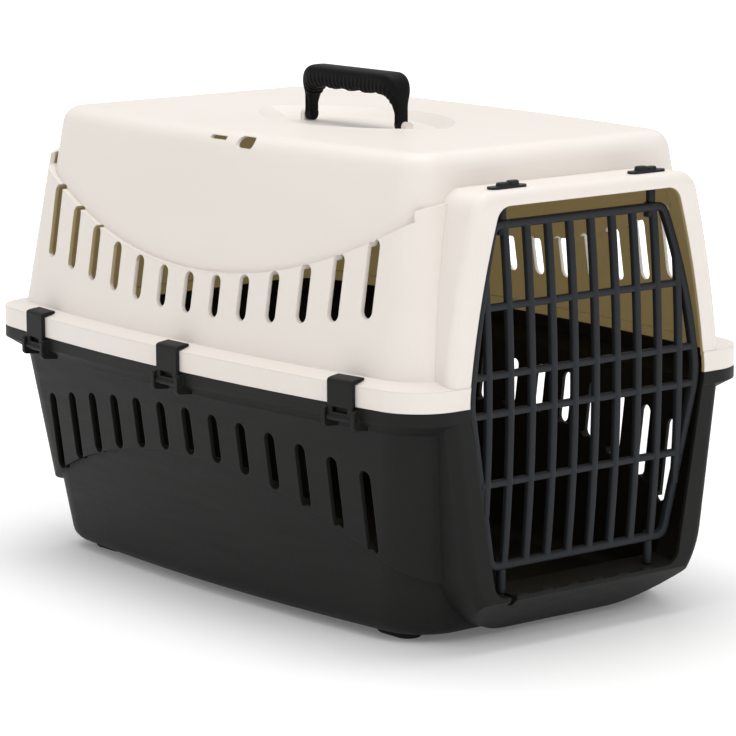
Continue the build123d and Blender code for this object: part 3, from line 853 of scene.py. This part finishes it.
@dataclass
class DoorGrille:
    """The curved door of upright bars, with rails, stems, eyes and pins."""

    top: float = SEAM_Z + 0.110
    bottom: float = SEAM_Z - 0.1055
    half_top: float = 0.0715
    half_waist: float = 0.096
    half_bottom: float = 0.074
    bulge: float = 0.0032
    corner_r: float = 0.009
    waist_r: float = 0.060
    front_y: float = -0.2275
    end_y: float = -0.2197
    arc_over: float = 0.010
    frame_w: float = 0.0052
    frame_depth: float = 0.0056
    bar_count: int = 10
    bar_pitch: float = 0.01751
    bar_w: float = 0.0050
    bar_depth: float = 0.0044
    bar_setback: float = 0.0003
    rail_h: float = 0.0044
    rail_setback: float = 0.0007
    rail_rises: tuple[float, ...] = (0.0584, 0.0169, -0.0067, -0.0501)
    stem_x: float = 0.061285
    stem_y: float = -0.217
    eye_r: float = 0.0044
    eye_h: float = 0.009
    stem_r: float = 0.0029
    pin_r: float = 0.0020
    sill_top: float = SEAM_Z - 0.121
    seat_gap: float = 0.0002
    pin_h: float = 0.0055
    bulge_steps: int = 8
    frame_corner: float = 0.0015
    bar_corner: float = 0.0013
    bar_steps: int = 24
    rail_corner: float = 0.0012
    rail_steps: int = 8
    soft: float = 0.0006
    stem_lap: float = 0.006
    pin_lap: float = 0.001
    eye_gap: float = 0.0001
    mid_z: float = field(init=False)
    front_r: float = field(init=False)

    def __post_init__(self) -> None:
        """Work out the middle height and the radius of the door's front."""
        half = (self.top - self.bottom) / 2 + self.arc_over
        rise = self.end_y - self.front_y
        self.mid_z = (self.top + self.bottom) / 2
        self.front_r = (half * half + rise * rise) / (2 * rise)

    def front(self, z: float) -> float:
        """Depth of the door's front face at a height."""
        return self.front_y + self.front_r - math.sqrt(self.front_r ** 2 - (z - self.mid_z) ** 2)

    def outline(self) -> list[Pair]:
        """The door's outer outline, clockwise, as (x, z) points.

        Returns:
            The outline's points.
        """
        corners = [(x, self.top, self.corner_r) for x in (-self.half_top, self.half_top)]
        right = []
        start = Vector((self.half_top, self.top))
        end = Vector((self.half_waist, SEAM_Z))
        run = (end - start).normalized()
        outward = Vector((-run.y, run.x))
        for k in range(1, self.bulge_steps):
            t = k / self.bulge_steps
            point = start.lerp(end, t) + outward * (4 * self.bulge * t * (1 - t))
            right.append((point.x, point.y, 0.0))
        right.append((self.half_waist, SEAM_Z, self.waist_r))
        right.append((self.half_bottom, self.bottom, self.corner_r))
        corners += right
        corners += [(-x, z, radius) for x, z, radius in reversed(right)]
        return rounded_path(corners)

    def span(self, path: Sequence[Pair], value: float, axis: int) -> Pair:
        """Where a straight line crosses the outline.

        Args:
            path: The outline's points.
            value: The line's place on its own axis.
            axis: 0 for an upright line at x, 1 for a level line at z.

        Returns:
            The lowest and highest crossing on the other axis.
        """
        hits = []
        for a, b in zip(path, list(path[1:]) + [path[0]]):
            low, high = sorted((a[axis], b[axis]))
            if low <= value <= high and high > low:
                t = (value - a[axis]) / (b[axis] - a[axis])
                hits.append(a[1 - axis] + t * (b[1 - axis] - a[1 - axis]))
        return min(hits), max(hits)

    def _sweeps(self, sweep: SweepTree) -> list[bpy.types.Mesh]:
        """Frame, bars and rails as swept meshes.

        Args:
            sweep: The tree that sweeps them.

        Returns:
            Their meshes.
        """
        middle = inset_path(self.outline(), self.frame_w / 2)
        edge = self.frame_depth / 2
        ring = [Vector((x, self.front(z) + edge, z)) for x, z in middle]
        frame_mesh = sweep.bake(
            [(ring, True, Vector((0, 1, 0)))],
            {"Width": self.frame_depth, "Depth": self.frame_w, "Corner": self.frame_corner},
            "door_frame",
        )
        bars = []
        for i in range(self.bar_count):
            x = (i - (self.bar_count - 1) / 2) * self.bar_pitch
            low, high = self.span(middle, x, 0)
            line = []
            for k in range(self.bar_steps + 1):
                z = low + (high - low) * k / self.bar_steps
                line.append(Vector((x, self.front(z) + self.bar_setback + self.bar_depth / 2, z)))
            bars.append((line, False, Vector((1, 0, 0))))
        bar_mesh = sweep.bake(
            bars, {"Width": self.bar_w, "Depth": self.bar_depth, "Corner": self.bar_corner},
            "door_bars",
        )
        rails = []
        rail_depth = self.frame_depth - self.rail_setback
        for rise in self.rail_rises:
            z = SEAM_Z + rise
            low, high = self.span(middle, z, 1)
            y = self.front(z) + self.rail_setback + rail_depth / 2
            steps = self.rail_steps
            line = [Vector((low + (high - low) * k / steps, y, z)) for k in range(steps + 1)]
            rails.append((line, False, Vector((0, 0, 1))))
        rail_mesh = sweep.bake(
            rails, {"Width": self.rail_h, "Depth": rail_depth, "Corner": self.rail_corner},
            "door_rails",
        )
        return [frame_mesh, bar_mesh, rail_mesh]

    def _fittings(self) -> bpy.types.Mesh:
        """Eyes at the top, stems and pins at the bottom.

        Returns:
            Their mesh.
        """
        bm = bmesh.new()
        up = Vector((0, 0, 1))
        soft = self.soft
        stem_low = self.sill_top + self.seat_gap
        for side in (-1, 1):
            x = side * self.stem_x
            foot = Vector((x, self.stem_y, stem_low))
            height = self.bottom + self.stem_lap - stem_low
            turned(bm, [
                (self.stem_r - soft, 0.0), (self.stem_r, soft),
                (self.stem_r, height - soft), (self.stem_r - soft, height),
            ], foot, up)
            turned(bm, [
                (self.pin_r - soft, -self.pin_h), (self.pin_r, soft - self.pin_h),
                (self.pin_r, self.pin_lap),
            ], foot, up)
            rings = [
                (self.eye_r - soft, -self.eye_h), (self.eye_r, soft - self.eye_h),
                (self.eye_r, -soft), (self.eye_r - soft, 0.0), (self.pin_r + self.eye_gap, 0.0),
                (self.pin_r + self.eye_gap, -self.eye_h + self.pin_lap),
            ]
            turned(bm, rings, Vector((x, self.stem_y, self.top)), up)
        return mesh_from(bm, "door_fittings")

    def build(self, shop: Workshop, sweep: SweepTree) -> None:
        """Make the door.

        Args:
            shop: The workshop that holds the finishes.
            sweep: The tree that sweeps the bars.
        """
        mesh = joined(self._sweeps(sweep) + [self._fittings()], "barred_door")
        shop.piece("barred_door", mesh, GREY_PLASTIC, "door", ["door_grille"])


@dataclass
class CarryHandle:
    """Folding handle: channelled legs, a finger-waved grip and ribs fanned round its corners."""

    half: float = 0.0505
    top: float = CAD_HIGH.z - 0.0002
    pivot_z: float = SEAM_Z + 0.1476
    leg_low: float = SEAM_Z + 0.1490
    hub_r: float = 0.0033
    leg_t: float = 0.007
    leg_w: float = 0.0078
    outer_r: float = 0.013
    inner_r: float = 0.0095
    grip_h: float = 0.0146
    grip_w: float = 0.0186
    channel_depth: float = 0.0013
    channel_half: float = 0.0019
    channel_curve: float = 0.35
    scallops: int = 4
    scallop_depth: float = 0.0014
    squareness: float = 3.6
    section_points: int = 56
    section_count: int = 150
    leg_share: float = 0.30
    turn_share: float = 0.24
    swell_from: float = 0.55
    soft: float = 0.0007
    lap: float = 0.001
    pin_r: float = 0.0019
    pin_reach: float = 0.0032
    rib_count: int = 25
    rib_w: float = 0.0019
    rib_h: float = 0.00055
    rib_from: float = -0.30
    rib_points: int = 34
    rib_span: float = 1.32
    rib_corner: float = 0.0005
    rib_sink: float = 1.6
    rib_fade: float = 8.0

    def _station(self, run: float) -> Station:
        """Outer and inner point of one section of the bow.

        Args:
            run: Place on the bow from one foot to the other, -1 to 1, with 0 in the middle.

        Returns:
            The outer point, the inner point and how far the leg has become the grip, 0 to 1.
        """
        side = 1.0 if run > 0 else -1.0
        leg_share, turn_share = self.leg_share, self.turn_share
        t = 1.0 - abs(run)
        outer_low = self.top - self.outer_r
        under = self.top - self.grip_h
        inner_low = under - self.inner_r
        if t < leg_share:
            k = t / leg_share
            outer = (self.half, self.leg_low + (outer_low - self.leg_low) * k)
            inner = (self.half - self.leg_t, self.leg_low + (inner_low - self.leg_low) * k)
        elif t < leg_share + turn_share:
            a = math.pi / 2 * (t - leg_share) / turn_share
            c, s = math.cos(a), math.sin(a)
            outer = (self.half - self.outer_r * (1 - c), outer_low + self.outer_r * s)
            inner = (self.half - self.leg_t - self.inner_r * (1 - c), inner_low + self.inner_r * s)
        else:
            k = (1.0 - t) / (1.0 - leg_share - turn_share)
            reach = self.half - self.leg_t - self.inner_r
            wave = 0.5 + 0.5 * math.cos(math.pi * self.scallops * k)
            outer = ((self.half - self.outer_r) * k, self.top)
            inner = (reach * k, under + self.scallop_depth * (1.0 - wave))
        swell = leg_share * (1.0 - self.swell_from) + turn_share
        grip = min(max((t - leg_share * self.swell_from) / swell, 0.0), 1.0)
        grip = grip * grip * (3 - 2 * grip)
        return Vector((0, side * outer[0], outer[1])), Vector((0, side * inner[0], inner[1])), grip

    def _skin(self, station: Station, angle: float, grow: float = 0.0) -> Vector:
        """Point on the bow's skin.

        Args:
            station: The section that it lies in.
            angle: Its angle round the section, a quarter turn being the inner side.
            grow: Its height over the skin.

        Returns:
            The point.
        """
        outer, inner, grip = station
        deep_way = (inner - outer).normalized()
        power = 2.0 / self.squareness
        c, s = math.cos(angle), math.sin(angle)
        width = self.leg_w + (self.grip_w - self.leg_w) * grip
        across = math.copysign(abs(c) ** power, c) * (width / 2 + grow)
        deep = math.copysign(abs(s) ** power, s) * ((inner - outer).length / 2 + grow)
        if abs(deep) < self.channel_half:
            bite = (1.0 - (deep / self.channel_half) ** 2) ** self.channel_curve
            across -= math.copysign(self.channel_depth * (1.0 - grip) * bite, c)
        return (outer + inner) / 2 + Vector((across, 0, 0)) + deep_way * deep

    def _bow(self) -> bpy.types.Mesh:
        """Legs, corners and grip in one skin, with a hub and a pin at each foot.

        Returns:
            The bow's mesh.
        """
        bm = bmesh.new()
        rings = []
        for i in range(self.section_count + 1):
            station = self._station(-1.0 + 2.0 * i / self.section_count)
            angles = (2 * math.pi * k / self.section_points for k in range(self.section_points))
            rings.append([self._skin(station, angle) for angle in angles])
        bridge(bm, rings)
        soft, lap = self.soft, self.lap
        for side in (-1, 1):
            out = Vector((0, side, 0))
            hub = Vector((0, side * (self.half - self.leg_t), self.pivot_z))
            turned(bm, [
                (self.hub_r - soft, 0.0), (self.hub_r, soft),
                (self.hub_r, self.leg_t - soft), (self.hub_r - soft, self.leg_t),
            ], hub, out)
            near, far = out * (soft / 2), out * (self.leg_t - soft / 2)
            across = Vector((self.hub_r, 0, 0))
            neck = [
                hub - across + near, hub + across + near, hub + across + far, hub - across + far,
            ]
            lift = Vector((0, 0, self.leg_low - self.pivot_z + lap))
            bridge(bm, [neck, [point + lift for point in neck]])
            turned(bm, [
                (self.pin_r, 0.0), (self.pin_r, self.pin_reach + lap - soft),
                (self.pin_r - soft, self.pin_reach + lap),
            ], hub + out * (self.leg_t - lap), out)
        return mesh_from(bm, "handle_bow")

    def _ribs(self, sweep: SweepTree) -> bpy.types.Mesh:
        """Fine ribs round the inner side of the grip, sunk at their ends.

        Args:
            sweep: The tree that sweeps the ribs.

        Returns:
            The ribs' mesh.
        """
        ribs = []
        last = math.pi - 2 * self.rib_from
        for i in range(self.rib_count):
            run = self.rib_span * ((i + 0.5) / self.rib_count - 0.5)
            station = self._station(run)
            line = []
            for k in range(self.rib_points + 1):
                t = k / self.rib_points
                sink = self.rib_sink * max(0.0, 1.0 - self.rib_fade * min(t, 1.0 - t))
                line.append(self._skin(station, self.rib_from + last * t, -self.rib_h * sink))
            deep_way = (station[1] - station[0]).normalized()
            ribs.append((line, False, Vector((0, deep_way.z, -deep_way.y))))
        sizes = {"Width": self.rib_w, "Depth": 2 * self.rib_h, "Corner": self.rib_corner}
        return sweep.bake(ribs, sizes, "handle_ribs")

    def build(self, shop: Workshop, sweep: SweepTree) -> None:
        """Make the handle.

        Args:
            shop: The workshop that holds the finishes.
            sweep: The tree that sweeps the ribs.
        """
        mesh = joined([self._bow(), self._ribs(sweep)], "ribbed_handle")
        shop.piece("ribbed_handle", mesh, GRIP_PLASTIC, "handle", ["carry_handle"])


@dataclass
class SideClips:
    """Six hinged clips: plate with a window, hooked lip, barrel and pins."""

    rim_half_w: float = 0.155
    bow_r: float = 1.570
    places: dict[str, float] = field(
        default_factory=lambda: {"rear": 0.160, "middle": -0.003, "front": -0.169}
    )
    width: float = 0.0215
    thick: float = 0.0026
    face_gap: float = 0.0004
    lip: float = 0.0075
    lip_t: float = 0.0024
    rim_h: float = 0.013
    ledge_rise: float = 0.0035
    ledge_w: float = 0.012
    axis_out: float = 0.0023
    axis_z: float = -0.008
    barrel_r: float = 0.0019
    pin_r: float = 0.0012
    pin_l: float = 0.0030
    window_top: float = -0.0012
    window_low: float = -0.0046
    window_w: float = 0.0135
    nose_r: float = 0.0007
    nose_share: float = 0.7
    bend_inner_r: float = 0.0003
    crown_rise: float = 0.0005
    crown_drop: float = 0.0004
    crown_r: float = 0.002
    bend_outer_r: float = 0.0016
    barrel_soft: float = 0.0004
    hook_steps: int = 4
    pin_sides: int = 20

    def _frame(self, side: int, y: float) -> Matrix:
        """Place on the rim's face at the seam: X outwards, Y along the rim.

        Args:
            side: -1 for the left side, 1 for the right.
            y: Place along the carrier.

        Returns:
            The place and its turn.
        """
        centre = self.rim_half_w - self.bow_r
        x = centre + math.sqrt(self.bow_r ** 2 - y * y)
        turn = math.asin(y / self.bow_r)
        if side < 0:
            x, turn = -x, math.pi - turn
        return Matrix.Translation((x, y, SEAM_Z)) @ Matrix.Rotation(turn, 4, "Z")

    def _strip(
        self, bm: bmesh.types.BMesh, outline: Sequence[Pair], low: float, high: float
    ) -> None:
        """Prism between two places along the rim.

        Args:
            bm: The mesh to add to.
            outline: (x, z) points.
            low: Where it starts along the rim.
            high: Where it ends.
        """
        rings = [[Vector((x, y, z)) for x, z in outline] for y in (low, high)]
        bridge(bm, rings)

    def _plate(self) -> bpy.types.Mesh:
        """Plate, lip and barrel in the clip's own place.

        Returns:
            The clip's mesh.
        """
        inner, outer = self.face_gap, self.face_gap + self.thick
        lip_low = self.rim_h + self.ledge_rise * self.lip / self.ledge_w + self.face_gap
        corner = self.rim_h + self.face_gap
        over = corner + self.lip_t
        axis_z, top_z, low_z = self.axis_z, self.window_top, self.window_low
        hook = rounded_path([
            (inner, top_z, 0), (inner, corner, self.bend_inner_r), (-self.lip, lip_low, 0),
            (-self.lip, lip_low + self.lip_t * self.nose_share, self.nose_r),
            (inner, over + self.crown_rise, self.crown_r),
            (outer, over - self.crown_drop, self.bend_outer_r), (outer, top_z, 0),
        ], self.hook_steps)
        bm = bmesh.new()
        half = self.width / 2
        self._strip(bm, hook, -half, half)
        leg = [(inner, axis_z), (inner, top_z), (outer, top_z), (outer, axis_z)]
        for sign in (-1, 1):
            low, high = sorted((sign * self.window_w / 2, sign * half))
            self._strip(bm, leg, low, high)
        foot = [(inner, axis_z), (inner, low_z), (outer, low_z), (outer, axis_z)]
        self._strip(bm, foot, -self.window_w / 2, self.window_w / 2)
        soft = self.barrel_soft
        start = Vector((self.axis_out, -half, axis_z))
        turned(bm, [
            (self.barrel_r - soft, 0.0), (self.barrel_r, soft),
            (self.barrel_r, self.width - soft), (self.barrel_r - soft, self.width),
        ], start, Vector((0, 1, 0)))
        turned(bm, [
            (self.pin_r, -self.pin_l), (self.pin_r, self.width + self.pin_l),
        ], start, Vector((0, 1, 0)), self.pin_sides)
        return mesh_from(bm, "clip_plate")

    def build(self, shop: Workshop) -> None:
        """Make the six clips.

        Args:
            shop: The workshop that holds the finishes.
        """
        plate = self._plate()
        for side, hand in ((-1, "left"), (1, "right")):
            for place, y in self.places.items():
                mesh = plate.copy()
                mesh.transform(self._frame(side, y))
                node = f"clip_{hand}_{place}"
                body = next(name for name, nodes in
                            frame["record"]["behaviour"]["bodies"].items() if node in nodes)
                shop.piece(f"hooked_{node}", mesh, TUB_PLASTIC, body, [node])


@dataclass
class SmallParts:
    """Pieces carried over as they are: door tabs and rest pads."""

    def build(self, shop: Workshop) -> None:
        """Dress the tabs and the pads.

        Args:
            shop: The workshop that holds the finishes.
        """
        for hand in ("left", "right"):
            shop.dress_node(f"door_tab_{hand}", GREY_PLASTIC)
            for place in ("front", "rear"):
                shop.dress_node(f"foot_{hand}_{place}", PAD_RUBBER)


# Studio


@dataclass
class Studio:
    """Pale floor, soft lights and the camera at the photograph's view."""

    camera_at: Triple = (-1.47051, -1.84278, 0.56194)
    azimuth: float = -38.7648
    elevation: float = 10.2355
    roll: float = -0.26947
    lens: float = 176.25
    sensor: float = 36.0
    floor_half: float = 15.0
    floor_cells: int = 8
    sky: float = 0.54
    clip_end: float = 100.0
    softboxes: tuple[tuple[str, Triple, float, float], ...] = (
        ("key_softbox", (-0.4, -2.5, 2.2), 1.8, 22.0),
        ("side_softbox", (-2.6, -0.2, 1.9), 1.8, 5.0),
        ("top_softbox", (0.2, 0.4, 2.8), 2.4, 50.0),
    )

    def _floor(self) -> None:
        """Lay the floor."""
        bm = bmesh.new()
        cells = self.floor_cells
        bmesh.ops.create_grid(bm, x_segments=cells, y_segments=cells, size=self.floor_half)
        mesh = bpy.data.meshes.new("studio_floor")
        bm.to_mesh(mesh)
        bm.free()
        mesh.materials.append(FloorPaper().build())
        floor = bpy.data.objects.new("studio_floor", mesh)
        bpy.context.scene.collection.objects.link(floor)

    def _panel(
        self,
        name: str,
        at: Sequence[float],
        size: float,
        watts: float,
    ) -> None:
        """Hang one soft square light.

        Args:
            name: The light's name.
            at: Its place.
            size: Its side.
            watts: Its power.
        """
        light = bpy.data.lights.new(name, "AREA")
        light.shape = "SQUARE"
        light.size = size
        light.energy = watts
        holder = bpy.data.objects.new(name, light)
        holder.location = at
        aim = Vector((0.0, 0.0, SEAM_Z)) - Vector(at)
        holder.rotation_euler = aim.to_track_quat("-Z", "Y").to_euler()
        bpy.context.scene.collection.objects.link(holder)

    def _camera(self) -> None:
        """Set the camera on the fitted view."""
        a, e, r = (math.radians(v) for v in (self.azimuth, self.elevation, self.roll))
        back = Vector((math.sin(a) * math.cos(e), -math.cos(a) * math.cos(e), math.sin(e)))
        right = Vector((0, 0, 1)).cross(back).normalized()
        up = back.cross(right)
        turned_right = right * math.cos(r) + up * math.sin(r)
        turned_up = up * math.cos(r) - right * math.sin(r)
        data = bpy.data.cameras.new("view")
        data.lens = self.lens
        data.sensor_width = self.sensor
        data.clip_end = self.clip_end
        camera = bpy.data.objects.new("view", data)
        turn = Matrix((turned_right, turned_up, back)).transposed()
        camera.matrix_world = Matrix.Translation(self.camera_at) @ turn.to_4x4()
        bpy.context.scene.collection.objects.link(camera)
        bpy.context.scene.camera = camera

    def build(self) -> None:
        """Set up floor, lights, world and camera."""
        self._floor()
        for name, at, size, watts in self.softboxes:
            self._panel(name, at, size, watts)
        world = bpy.data.worlds.new("studio")
        world.use_nodes = True
        tree = Tree(world.node_tree)
        sky = tree.node(
            "ShaderNodeBackground", {}, {"Color": (1.0, 1.0, 1.0, 1.0), "Strength": self.sky}
        )
        tree.node("ShaderNodeOutputWorld", {}, {"Surface": sky.outputs[0]})
        bpy.context.scene.world = world
        bpy.context.scene.view_settings.view_transform = "Standard"
        self._camera()


def main() -> None:
    """Build the studio and the carrier, piece by piece."""
    logging.basicConfig(level=logging.INFO, format="%(name)s: %(message)s")
    Studio().build()
    shop = Workshop([LID_PLASTIC, TUB_PLASTIC, GREY_PLASTIC, GRIP_PLASTIC, PAD_RUBBER])
    sweep = SweepTree(shop.materials[GREY_PLASTIC])
    Shells().build(shop)
    DoorGrille().build(shop, sweep)
    CarryHandle().build(shop, sweep)
    SideClips().build(shop)
    SmallParts().build(shop)


if __name__ == "__main__":
    main()
